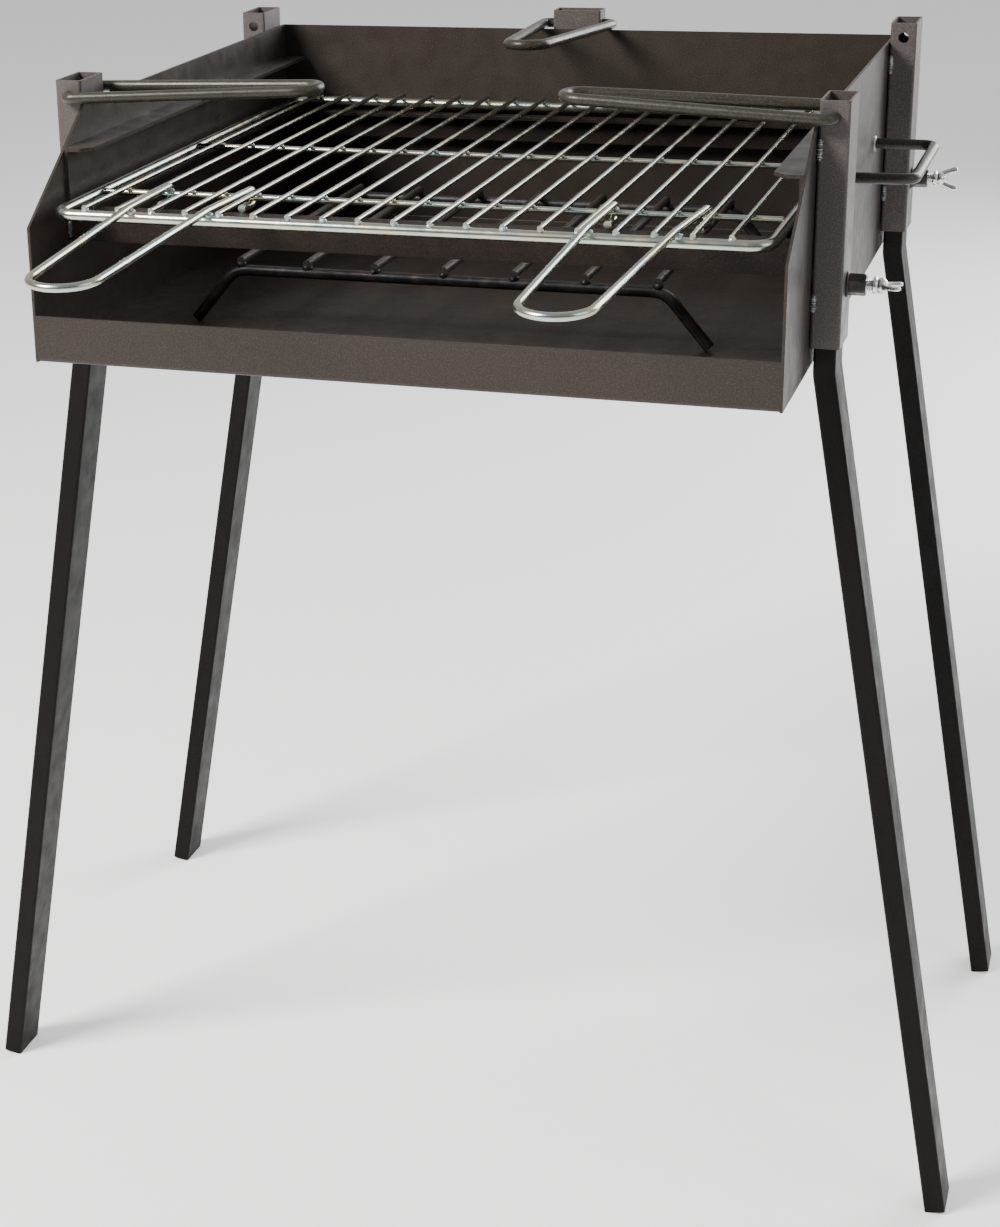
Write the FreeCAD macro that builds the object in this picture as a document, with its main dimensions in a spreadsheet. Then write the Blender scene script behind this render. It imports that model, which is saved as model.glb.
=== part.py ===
import FreeCAD, Part
import Sketcher

import math
import os

# Charcoal barbecue: a folded sheet-metal fire box on four clamped, splayed tube legs.
# X runs to the right, Y to the back and Z up. The origin is on the ground, under the middle of the object.

DIMENSIONS = {
    # fire box, measured outside
    "box_width": 520,
    "box_depth": 516,
    "box_height": 165,
    "box_floor": 640,
    "sheet_thick": 2,
    "fold_radius": 3,
    "lip_height": 33,
    "knee_height": 95,
    "slope_depth": 102,
    # corner posts and legs, rectangular tube
    "post_width": 20,
    "post_depth": 40,
    "post_wall": 1.5,
    "post_corner": 2,
    "post_length": 164,
    "post_foot": 16,
    "post_gap": 0.6,
    "front_post": 101,
    "rear_post": 472,
    "leg_width": 15,
    "leg_depth": 35,
    "leg_wall": 1.5,
    "leg_corner": 2,
    "leg_insert": 104,
    "leg_bend": 30,
    "leg_splay": 9.75,
    # clamp screws
    "screw_height": 40,
    "screw_radius": 4,
    "screw_fit": 0.05,
    "screw_hole": 4.6,
    "screw_gap": 0.3,
    "screw_out": 17.5,
    "nut_radius": 7.5,
    "nut_height": 13,
    "nut_flange": 8.6,
    "nut_rim": 1.6,
    "hub_radius": 6,
    "hub_tip": 4.2,
    "hub_length": 9,
    "prong_rod": 4.4,
    "prong_length": 11,
    "prong_offset": 3.2,
    "prong_start": 6,
    "prong_splay": 22,
    "rear_wing_turn": 75,
    # pan arms, one hairpin of round rod each
    "arm_rod": 8,
    "arm_bar": 161,
    "arm_tip": 15,
    "arm_bend": 8,
    "arm_taper": 5,
    "arm_tilt": 2.3,
    "arm_inner_end": 15,
    "arm_hole": 4.05,
    "arm_height": 168.6,
    # side handles
    "handle_rod": 8,
    "handle_reach": 45,
    "handle_bend": 10,
    "handle_front": 275,
    "handle_rear": 412,
    "handle_height": 97,
    # guides and crossbars that carry the cooking grid
    "rail_thick": 2.5,
    "guide_front": 62,
    "guide_length": 448,
    "guide_width": 20,
    "guide_foot": 95.5,
    "guide_top": 139,
    "guide_chamfer": 8,
    "bar_drop": 22,
    "bar_flange": 15,
    "bar_front": 62,
    "bar_rear": 486,
    # cooking grid
    "grid_width": 492,
    "grid_front": 16,
    "grid_rear": 504,
    "frame_rod": 8,
    "frame_bend": 14,
    "rung_rod": 4.5,
    "rung_front": 90,
    "rung_middle": 271,
    "wire_rod": 3.6,
    "wire_pitch": 24.7,
    "wire_overhang": 2,
    "grip_rod": 5.5,
    "grip_tip": 22.9,
    "grip_taper": 2,
    "grip_lean_left": 0.5,
    "grip_lean_right": 2.5,
    "grip_offset": 160.5,
    "grip_reach": 257,
    "grip_drop": 3.5,
    "grip_hook": 16,
    "grip_fit": 0.05,
    # ember grate, standing on the floor of the fire box
    "ember_rod": 8,
    "ember_width": 316,
    "ember_height": 40,
    "ember_lean": 40,
    "ember_bend": 20,
    "ember_front": 128,
    "ember_rear": 400,
    "ember_bar_rod": 6,
    "ember_bar_pitch": 51,
    "ember_overhang": 1.5,
}

WIRE_STEPS = range(-9, 10)
EMBER_STEPS = range(-3, 4)
SIDES = {"left": -1, "right": 1}
ENDS = {"front": "size.front_post", "rear": "size.rear_post"}

doc = FreeCAD.newDocument("barbecue")
size = doc.addObject("Spreadsheet::Sheet", "size")
for row, (alias, number) in enumerate(DIMENSIONS.items(), start=1):
    size.set(f"A{row}", alias)
    size.set(f"B{row}", str(number))
    size.setAlias(f"B{row}", alias)
doc.recompute()

SUBPARTS = []

# lengths closer than this are equal, directions straighter than this are parallel, and the least cut in mm3
NEAR = 0.01
PARALLEL = 0.999
LEAST_CUT = 1.0

X_AXIS = FreeCAD.Vector(1, 0, 0)
Y_AXIS = FreeCAD.Vector(0, 1, 0)
Z_AXIS = FreeCAD.Vector(0, 0, 1)
NO_TURN = FreeCAD.Rotation()
Z_TO_X = FreeCAD.Rotation(Y_AXIS, 90)
Z_TO_Y = FreeCAD.Rotation(X_AXIS, -90)

# places that several sub-parts share; the grips in front and the bracket behind are equally far from Y = 0
BOX_FRONT = (
    "((size.grip_reach + size.grip_rod / 2 - size.rung_front"
    " - size.box_depth - size.post_gap - size.post_width) / 2)"
)
FLOOR_TOP = "size.box_floor + size.sheet_thick"
HALF_BOX = "size.box_width / 2"
INNER_HALF = "(size.box_width / 2 - size.sheet_thick)"
POST_X = "(size.box_width / 2 + size.post_gap + size.post_width / 2)"
POST_FACE = "(size.box_width / 2 + size.post_gap + size.post_width)"
POST_FOOT = "size.box_floor + size.post_foot"
SCREW_Z = "size.box_floor + size.post_foot + size.screw_height"
ARM_Z = "size.box_floor + size.arm_height"
REAR_BRACKET_Y = f"{BOX_FRONT} + size.box_depth + size.post_gap + size.post_width / 2"
GRID_Z = "(size.box_floor + size.guide_foot + size.rail_thick + size.frame_rod / 2)"
GRID_TOP = "(size.box_floor + size.guide_foot + size.rail_thick + size.frame_rod)"


def read(expression):
    """The number that an expression on the sheet gives now."""
    result = size.evalExpression(expression)
    return float(getattr(result, "Value", result))


def bind(obj, **expressions):
    """Ties properties of an object to the sheet."""
    for name, expression in expressions.items():
        obj.setExpression(name, expression)
    return obj


def post_middle(end):
    """Expression for the Y of the middle of a front or rear post."""
    return f"{BOX_FRONT} + {ENDS[end]} + size.post_depth / 2"


def place(obj, x="0", y="0", z="0", turn=NO_TURN):
    """Turns an object, and ties its position to the sheet."""
    obj.Placement = FreeCAD.Placement(FreeCAD.Vector(), turn)
    for axis, expression in zip("xyz", (x, y, z)):
        obj.setExpression(f"Placement.Base.{axis}", f"({expression}) * 1mm")
    return obj


def keep(obj, label):
    """Names a finished sub-part and lists it for export."""
    obj.Label = label
    SUBPARTS.append(obj)
    return obj


def primitive(kind, name, **expressions):
    """A Part primitive with its sizes tied to the sheet."""
    return bind(doc.addObject(f"Part::{kind}", name), **expressions)


def fuse(name, shapes):
    joined = doc.addObject("Part::MultiFuse", name)
    joined.Shapes = shapes
    return joined


def cut(name, base, tool):
    result = doc.addObject("Part::Cut", name)
    result.Base = base
    result.Tool = tool
    return result


def group(name, members):
    """Equal pieces kept as separate solids in one sub-part."""
    result = doc.addObject("Part::Compound", name)
    result.Links = members
    return result


def plane(body, role):
    return next(f for f in body.Origin.OriginFeatures if f.Role == role)


def new_sketch(body, name, role):
    sketch = body.newObject("Sketcher::SketchObject", name)
    sketch.AttachmentSupport = [(plane(body, role), "")]
    sketch.MapMode = "FlatFace"
    return sketch


def tie(sketch, constraint, expression):
    """Adds a constraint whose value comes from the sheet."""
    index = sketch.addConstraint(constraint)
    sketch.setExpression(f"Constraints[{index}]", expression)


def draw_outline(sketch, corners):
    """A closed outline of straight lines; each corner is a pair of expressions."""
    points = [FreeCAD.Vector(read(x), read(y), 0) for x, y in corners]
    count = len(points)
    for i in range(count):
        sketch.addGeometry(Part.LineSegment(points[i], points[(i + 1) % count]), False)
    for i in range(count):
        sketch.addConstraint(Sketcher.Constraint("Coincident", i, 2, (i + 1) % count, 1))
    for i, (x, y) in enumerate(corners):
        tie(sketch, Sketcher.Constraint("DistanceX", -1, 1, i, 1, points[i].x), x)
        tie(sketch, Sketcher.Constraint("DistanceY", -1, 1, i, 1, points[i].y), y)


def draw_round_rectangle(sketch, width, height, corner):
    """A rectangle with rounded corners, centred on the sketch's origin."""
    half_w = read(width) / 2
    half_h = read(height) / 2
    r = read(corner)
    first = sketch.GeometryCount
    for k, (sx, sy) in enumerate(((1, 1), (-1, 1), (-1, -1), (1, -1))):
        centre = FreeCAD.Vector(sx * (half_w - r), sy * (half_h - r), 0)
        start = math.radians(90 * k)
        arc = Part.ArcOfCircle(Part.Circle(centre, Z_AXIS, r), start, start + math.pi / 2)
        sketch.addGeometry(arc, False)
        if k % 2 == 0:
            ends = (sx * (half_w - r), sy * half_h), (-sx * (half_w - r), sy * half_h)
        else:
            ends = (sx * half_w, sy * (half_h - r)), (sx * half_w, -sy * (half_h - r))
        sketch.addGeometry(Part.LineSegment(*[FreeCAD.Vector(*p, 0) for p in ends]), False)
    for k in range(4):
        arc = first + 2 * k
        line = arc + 1
        following = first + (2 * k + 2) % 8
        sketch.addConstraint(Sketcher.Constraint("Tangent", arc, 2, line, 1))
        sketch.addConstraint(Sketcher.Constraint("Tangent", line, 2, following, 1))
        sketch.addConstraint(Sketcher.Constraint("Vertical" if k % 2 else "Horizontal", line))
        if k:
            sketch.addConstraint(Sketcher.Constraint("Equal", first, arc))
    tie(sketch, Sketcher.Constraint("Radius", first, r), corner)
    sketch.addConstraint(Sketcher.Constraint("Symmetric", first, 3, first + 4, 3, -1, 1))
    tie(sketch, Sketcher.Constraint("DistanceX", first + 4, 3, first, 3, 2 * (half_w - r)),
        f"{width} - 2 * {corner}")
    tie(sketch, Sketcher.Constraint("DistanceY", first + 4, 3, first, 3, 2 * (half_h - r)),
        f"{height} - 2 * {corner}")


def draw_circle(sketch, radius, x="0", y="0"):
    centre = FreeCAD.Vector(read(x), read(y), 0)
    index = sketch.addGeometry(Part.Circle(centre, Z_AXIS, read(radius)), False)
    tie(sketch, Sketcher.Constraint("Radius", index, read(radius)), radius)
    tie(sketch, Sketcher.Constraint("DistanceX", -1, 1, index, 3, centre.x), x)
    tie(sketch, Sketcher.Constraint("DistanceY", -1, 1, index, 3, centre.y), y)


def draw_path(sketch, moves, closed=False):
    """A path of straight runs joined by tangent arcs.

    It starts at the origin along +X. Each move is a run's length, then the angle in degrees
    and the radius of the arc that follows it. The last run of an open path has no arc.
    """
    spot = FreeCAD.Vector()
    heading = 0.0
    previous = None
    for length, angle, radius in moves:
        run = read(length)
        turn = read(angle)
        ahead = FreeCAD.Vector(math.cos(heading), math.sin(heading), 0)
        line = sketch.addGeometry(Part.LineSegment(spot, spot + ahead * run), False)
        if previous is None:
            sketch.addConstraint(Sketcher.Constraint("Coincident", line, 1, -1, 1))
        else:
            sketch.addConstraint(Sketcher.Constraint("Tangent", previous, 2, line, 1))
        sketch.addConstraint(Sketcher.Constraint("Angle", line, heading))
        if not (closed and (length, angle, radius) is moves[-1]):
            tie(sketch, Sketcher.Constraint("Distance", line, run), length)
        spot += ahead * run
        if not turn:
            continue
        r = read(radius)
        left = FreeCAD.Vector(-ahead.y, ahead.x, 0)
        centre = spot + left * r
        start = heading - math.pi / 2
        arc = Part.ArcOfCircle(Part.Circle(centre, Z_AXIS, r), start, start + math.radians(turn))
        previous = sketch.addGeometry(arc, False)
        sketch.addConstraint(Sketcher.Constraint("Tangent", line, 2, previous, 1))
        tie(sketch, Sketcher.Constraint("Radius", previous, r), radius)
        heading += math.radians(turn)
        spot = centre + FreeCAD.Vector(math.sin(heading), -math.cos(heading), 0) * r


def swept_body(name, moves, draw_profile, closed=False):
    """A body swept along a path in its own XY plane, starting at its origin along +X."""
    body = doc.addObject("PartDesign::Body", name)
    path = new_sketch(body, f"{name}_path", "XY_Plane")
    draw_path(path, moves, closed)
    profile = new_sketch(body, f"{name}_profile", "YZ_Plane")
    draw_profile(profile)
    doc.recompute()
    pipe = body.newObject("PartDesign::AdditivePipe", f"{name}_pipe")
    pipe.Profile = profile
    pipe.Spine = (path, [f"Edge{i + 1}" for i in range(path.GeometryCount)])
    return body


def bent_rod(name, diameter, moves, closed=False):
    return swept_body(name, moves, lambda profile: draw_circle(profile, f"{diameter} / 2"), closed)


def straight_rod(name, diameter, length, x, y, z, turn):
    rod = primitive("Cylinder", name, Radius=f"{diameter} / 2", Height=length)
    return place(rod, x, y, z, turn)


def padded_body(name, role, draw_profile, length):
    body = doc.addObject("PartDesign::Body", name)
    profile = new_sketch(body, f"{name}_profile", role)
    draw_profile(profile)
    doc.recompute()
    pad = body.newObject("PartDesign::Pad", f"{name}_pad")
    pad.Profile = profile
    bind(pad, Length=length)
    doc.recompute()
    return body


def round_edges(body, name, radius, chosen):
    """Rounds the edges of a body that the test picks out."""
    base = body.Tip
    edges = [f"Edge{i + 1}" for i, edge in enumerate(base.Shape.Edges) if chosen(edge)]
    fillet = body.newObject("PartDesign::Fillet", name)
    fillet.Base = (base, edges)
    bind(fillet, Radius=radius)
    doc.recompute()


def lies_along(edge, axis):
    """True for a straight edge parallel to an axis."""
    return edge.Curve.TypeId == "Part::GeomLine" and abs(edge.Curve.Direction.dot(axis)) > PARALLEL


def box_pan():
    """Floor, front lip and rear wall, folded from one sheet."""
    t = "size.sheet_thick"
    depth = "size.box_depth"
    corners = [
        ("0", "0"),
        (depth, "0"),
        (depth, "size.box_height"),
        (f"{depth} - {t}", "size.box_height"),
        (f"{depth} - {t}", t),
        (t, t),
        (t, "size.lip_height"),
        ("0", "size.lip_height"),
    ]
    body = padded_body("pan", "YZ_Plane", lambda s: draw_outline(s, corners), f"2 * {INNER_HALF}")

    def fold(reach, radius, label):
        far = read("size.box_depth") - reach

        def chosen(edge):
            middle = edge.CenterOfMass
            at_fold = min(abs(middle.y - reach), abs(middle.y - far)) < NEAR
            return lies_along(edge, X_AXIS) and at_fold and abs(middle.z - reach) < NEAR

        round_edges(body, label, radius, chosen)

    fold(0.0, "size.fold_radius", "pan_outer_folds")
    fold(read(t), "size.fold_radius - size.sheet_thick", "pan_inner_folds")
    keep(place(body, f"-{INNER_HALF}", BOX_FRONT, "size.box_floor"), "box_pan")


def side_panel(side, sign):
    corners = [
        ("0", "0"),
        ("size.box_depth", "0"),
        ("size.box_depth", "size.box_height"),
        ("size.slope_depth", "size.box_height"),
        ("0", "size.knee_height"),
    ]
    name = f"side_panel_{side}"
    body = padded_body(name, "YZ_Plane", lambda s: draw_outline(s, corners), "size.sheet_thick")
    start = f"-{HALF_BOX}" if sign < 0 else INNER_HALF
    keep(place(body, start, BOX_FRONT, "size.box_floor"), name)


def post_body(name, screw_side):
    """A length of rectangular tube with a cross hole for a pan arm near its top.

    screw_side is 1 or -1 for a clamp screw hole in that wide face, or 0 for none.
    """
    body = doc.addObject("PartDesign::Body", name)
    profile = new_sketch(body, f"{name}_profile", "XY_Plane")
    draw_round_rectangle(profile, "size.post_width", "size.post_depth", "size.post_corner")
    draw_round_rectangle(
        profile,
        "(size.post_width - 2 * size.post_wall)",
        "(size.post_depth - 2 * size.post_wall)",
        "(size.post_corner - size.post_wall)",
    )
    doc.recompute()
    pad = body.newObject("PartDesign::Pad", f"{name}_pad")
    pad.Profile = profile
    bind(pad, Length="size.post_length")
    doc.recompute()
    arm_hole = new_sketch(body, f"{name}_arm_hole", "XZ_Plane")
    draw_circle(arm_hole, "size.arm_hole", "0", "size.arm_height - size.post_foot")
    doc.recompute()
    drill(body, f"{name}_arm_drill", arm_hole, True, False)
    if screw_side:
        screw_hole = new_sketch(body, f"{name}_screw_hole", "YZ_Plane")
        draw_circle(screw_hole, "size.screw_hole", "0", "size.screw_height")
        doc.recompute()
        drill(body, f"{name}_screw_drill", screw_hole, False, screw_side > 0)
    return body


def drill(body, name, sketch, both_ways, reverse):
    """Cuts a sketch through the body, and makes sure that it removes material."""
    before = body.Tip.Shape.Volume
    pocket = body.newObject("PartDesign::Pocket", name)
    pocket.Profile = sketch
    pocket.Type = "ThroughAll"
    pocket.Midplane = both_ways
    pocket.Reversed = reverse
    doc.recompute()
    if body.Tip.Shape.Volume > before - LEAST_CUT:
        raise RuntimeError(f"{name} cuts nothing")


def corner_post(end, side, sign):
    name = f"post_{end}_{side}"
    body = post_body(name, sign)
    keep(place(body, f"{sign} * {POST_X}", post_middle(end), POST_FOOT), name)


def rear_bracket():
    """The same tube turned a quarter, at the middle of the rear wall, for the third pan arm."""
    body = post_body("bracket", 0)
    turn = FreeCAD.Rotation(Z_AXIS, 90)
    keep(place(body, "0", REAR_BRACKET_Y, POST_FOOT, turn), "rear_arm_bracket")


def leg(end, side, sign):
    """Tube that slides up into its post, with one bend below it so that it splays outwards."""
    name = f"leg_{end}_{side}"
    splay = "(size.leg_splay * 1deg)"
    # the square-cut foot touches the ground with its inner edge
    below_bend = f"(size.box_floor - (size.leg_bend + size.leg_width / 2) * sin{splay}) / cos{splay}"
    moves = [
        ("size.leg_insert", "size.leg_splay", "size.leg_bend"),
        (below_bend, "0", "0"),
    ]

    def profile(sketch):
        draw_round_rectangle(sketch, "size.leg_width", "size.leg_depth", "size.leg_corner")
        draw_round_rectangle(
            sketch,
            "(size.leg_width - 2 * size.leg_wall)",
            "(size.leg_depth - 2 * size.leg_wall)",
            "(size.leg_corner - size.leg_wall)",
        )

    body = swept_body(name, moves, profile)
    # local X points down the leg, and local Y points outwards
    turn = FreeCAD.Rotation(-Z_AXIS, X_AXIS * sign, Y_AXIS * -sign)
    top = "size.box_floor + size.leg_insert"
    keep(place(body, f"{sign} * {POST_X}", post_middle(end), top, turn), name)


def clamp_nut(name, x, y, sign):
    """Long hexagon nut with a round flange, welded over the clamp hole of a post."""
    tall = "size.nut_height"
    hexagon = primitive("Prism", f"{name}_hexagon", Circumradius="size.nut_radius", Height=tall)
    flange = primitive("Cylinder", f"{name}_flange", Radius="size.nut_flange", Height="size.nut_rim")
    solid = fuse(f"{name}_solid", [hexagon, flange])
    bore = primitive("Cylinder", f"{name}_bore", Radius="size.screw_radius + size.screw_fit", Height=tall)
    turn = FreeCAD.Rotation(Y_AXIS, 90 * sign)
    return place(cut(name, solid, bore), x, y, SCREW_Z, turn)


def clamp_screw(end, side, sign):
    """Shank of a clamp screw: its flat tip faces the leg inside the post."""
    start = f"({POST_X} + size.leg_width / 2 + size.screw_gap)"
    length = f"{POST_FACE} + size.screw_out - {start}"
    shank = primitive("Cylinder", f"shank_{end}_{side}", Radius="size.screw_radius", Height=length)
    turn = FreeCAD.Rotation(Y_AXIS, 90 * sign)
    place(shank, f"{sign} * {start}", post_middle(end), SCREW_Z, turn)
    keep(shank, f"clamp_screw_{end}_{side}")


def screw_wing(end, side, sign):
    """Winged head of a clamp screw: a tapered hub with two splayed prongs."""
    name = f"wing_{end}_{side}"
    wide = "size.hub_radius"
    hub = primitive("Cone", f"{name}_hub", Radius1=wide, Radius2="size.hub_tip", Height="size.hub_length")
    pieces = [hub]
    for label, way in (("first", 1), ("second", -1)):
        splay = math.radians(read("size.prong_splay")) * way
        turn = FreeCAD.Rotation(Z_AXIS, FreeCAD.Vector(0, math.sin(splay), math.cos(splay)))
        half = "size.prong_rod / 2"
        prong = primitive("Cylinder", f"{name}_{label}_prong", Radius=half, Height="size.prong_length")
        tip = primitive("Sphere", f"{name}_{label}_tip", Radius=half)
        angle = "(size.prong_splay * 1deg)"
        start = f"{way} * size.prong_offset"
        place(prong, "0", start, "size.prong_start", turn)
        place(tip, "0", f"{way} * (size.prong_offset + size.prong_length * sin{angle})",
              f"size.prong_start + size.prong_length * cos{angle}")
        pieces += [prong, tip]
    solid = fuse(name, pieces)
    # the screws stopped at different turns: level in front, upright behind
    along_post = FreeCAD.Rotation(Y_AXIS, 90 * sign)
    wing_turn = 0.0 if end == "front" else read("size.rear_wing_turn")
    turn = along_post * FreeCAD.Rotation(Z_AXIS, wing_turn)
    x = f"{sign} * ({POST_FACE} + size.screw_out)"
    keep(place(solid, x, post_middle(end), SCREW_Z, turn), f"screw_wing_{end}_{side}")


def arm_moves():
    """A hairpin whose two ends turn in towards each other, as pivot pins."""
    taper = "size.arm_taper * 1deg"
    half_width = f"((size.arm_tip - size.arm_bend) * cos({taper}) + size.arm_bar * sin({taper}))"
    pin = f"{half_width} - size.arm_inner_end"
    corner = "90 + size.arm_taper"
    return [
        (pin, corner, "size.arm_bend"),
        ("size.arm_bar", "180 - 2 * size.arm_taper", "size.arm_tip"),
        ("size.arm_bar", corner, "size.arm_bend"),
        (pin, "0", "0"),
    ]


def arm_turn(pivot, ahead):
    """Turns an arm so that its pins lie along one direction and it points along another, tilted up."""
    tilt = math.radians(read("size.arm_tilt"))
    bars = ahead * math.cos(tilt) + Z_AXIS * math.sin(tilt)
    return FreeCAD.Rotation(pivot, bars, pivot.cross(bars))


def side_arm(side, sign):
    """Pan arm of a front post: it pivots about Y and lies inwards over the side panel."""
    name = f"arm_{side}"
    body = bent_rod(name, "size.arm_rod", arm_moves())
    turn = arm_turn(Y_AXIS * sign, X_AXIS * -sign)
    start = f"{post_middle('front')} + {sign} * size.arm_inner_end"
    keep(place(body, f"{sign} * {POST_X}", start, ARM_Z, turn), f"pan_arm_{side}")


def rear_arm():
    """Pan arm of the rear bracket: it pivots about X and lies forwards over the rear wall."""
    body = bent_rod("arm_rear", "size.arm_rod", arm_moves())
    turn = arm_turn(-X_AXIS, -Y_AXIS)
    keep(place(body, "-size.arm_inner_end", REAR_BRACKET_Y, ARM_Z, turn), "pan_arm_rear")


def side_handle(side, sign):
    """Carrying handle: a bow of round rod, welded to a side panel between the posts."""
    leg_run = "size.handle_reach - size.handle_bend"
    grip = "size.handle_rear - size.handle_front - 2 * size.handle_bend"
    moves = [
        (leg_run, "90", "size.handle_bend"),
        (grip, "90", "size.handle_bend"),
        (leg_run, "0", "0"),
    ]
    body = bent_rod(f"bow_{side}", "size.handle_rod", moves)
    # the bow turns left from its first leg, so its first leg is the front one on the right side
    turn = NO_TURN if sign > 0 else FreeCAD.Rotation(Z_AXIS, 180)
    first = "size.handle_front" if sign > 0 else "size.handle_rear"
    height = "size.box_floor + size.handle_height"
    keep(place(body, f"{sign} * {HALF_BOX}", f"{BOX_FRONT} + {first}", height, turn), f"side_handle_{side}")


def grid_guide(side, sign):
    """Channel on the inside of a side panel: a ledge for the grid, and a flange above it."""
    t = "size.rail_thick"
    wide = "size.guide_width"
    tall = "(size.guide_top - size.guide_foot)"
    corners = [
        ("0", "0"),
        (wide, "0"),
        (wide, t),
        (t, t),
        (t, f"{tall} - {t}"),
        (wide, f"{tall} - {t}"),
        (wide, tall),
        ("0", tall),
    ]
    name = f"guide_{side}"
    body = padded_body(name, "XZ_Plane", lambda s: draw_outline(s, corners), "size.guide_length")
    top = read(tall)
    # the profile is padded towards -Y, and the right guide is the same channel turned half round
    front = -read("size.guide_length") if sign < 0 else 0.0

    def chosen(edge):
        middle = edge.CenterOfMass
        at_corner = abs(middle.x - read(wide)) < NEAR and abs(middle.y - front) < NEAR
        return lies_along(edge, Z_AXIS) and at_corner and middle.z > top / 2

    base = body.Tip
    edges = [f"Edge{i + 1}" for i, edge in enumerate(base.Shape.Edges) if chosen(edge)]
    chamfer = body.newObject("PartDesign::Chamfer", f"{name}_chamfer")
    chamfer.Base = (base, edges)
    bind(chamfer, Size="size.guide_chamfer")
    turn = NO_TURN if sign < 0 else FreeCAD.Rotation(Z_AXIS, 180)
    reach = " + size.guide_length" if sign < 0 else ""
    y = f"{BOX_FRONT} + size.guide_front{reach}"
    z = "size.box_floor + size.guide_foot"
    keep(place(body, f"{sign} * {INNER_HALF}", y, z, turn), f"grid_guide_{side}")


def crossbar(end):
    """Angle strip between the side panels, under the guides."""
    t = "size.rail_thick"
    deep = "size.bar_flange"
    tall = "size.bar_drop"
    if end == "front":
        corners = [
            ("0", "0"),
            (t, "0"),
            (t, f"{tall} - {t}"),
            (deep, f"{tall} - {t}"),
            (deep, tall),
            ("0", tall),
        ]
    else:
        corners = [
            (f"{deep} - {t}", "0"),
            (deep, "0"),
            (deep, tall),
            ("0", tall),
            ("0", f"{tall} - {t}"),
            (f"{deep} - {t}", f"{tall} - {t}"),
        ]
    name = f"crossbar_{end}"
    body = padded_body(f"{name}_body", "YZ_Plane", lambda s: draw_outline(s, corners), f"2 * {INNER_HALF}")
    y = f"{BOX_FRONT} + size.bar_{end}"
    z = "size.box_floor + size.guide_foot - size.bar_drop"
    keep(place(body, f"-{INNER_HALF}", y, z), name)


def grid_frame():
    """Rim of the cooking grid: one closed rectangle of thick rod."""
    bend = "size.frame_bend"
    across = f"(size.grid_width - 2 * {bend})"
    along = f"(size.grid_rear - size.grid_front - 2 * {bend})"
    moves = [
        (f"{across} / 2", "90", bend),
        (along, "90", bend),
        (across, "90", bend),
        (along, "90", bend),
        (f"{across} / 2", "0", "0"),
    ]
    body = bent_rod("rim", "size.frame_rod", moves, closed=True)
    keep(place(body, "0", f"{BOX_FRONT} + size.grid_front", GRID_Z), "grid_frame")


def grid_rungs():
    """Cross rods of the grid, level with the top of its rim."""
    rods = []
    for label, place_y in (("front", "size.rung_front"), ("middle", "size.rung_middle")):
        length = "size.grid_width - size.frame_rod"
        x = "-(size.grid_width - size.frame_rod) / 2"
        z = f"{GRID_TOP} - size.rung_rod / 2"
        y = f"{BOX_FRONT} + {place_y}"
        rods.append(straight_rod(f"rung_{label}", "size.rung_rod", length, x, y, z, Z_TO_X))
    keep(group("rungs", rods), "grid_rungs")


def grid_wires():
    """Thin wires from front to back, on top of the rim and the rungs."""
    wires = []
    for step in WIRE_STEPS:
        name = f"wire_{step - WIRE_STEPS[0] + 1}"
        length = "size.grid_rear - size.grid_front + 2 * size.wire_overhang"
        y = f"{BOX_FRONT} + size.grid_front - size.wire_overhang"
        z = f"{GRID_TOP} + size.wire_rod / 2"
        wires.append(straight_rod(name, "size.wire_rod", length, f"{step} * size.wire_pitch", y, z, Z_TO_Y))
    keep(group("wires", wires), "grid_wires")


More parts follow.
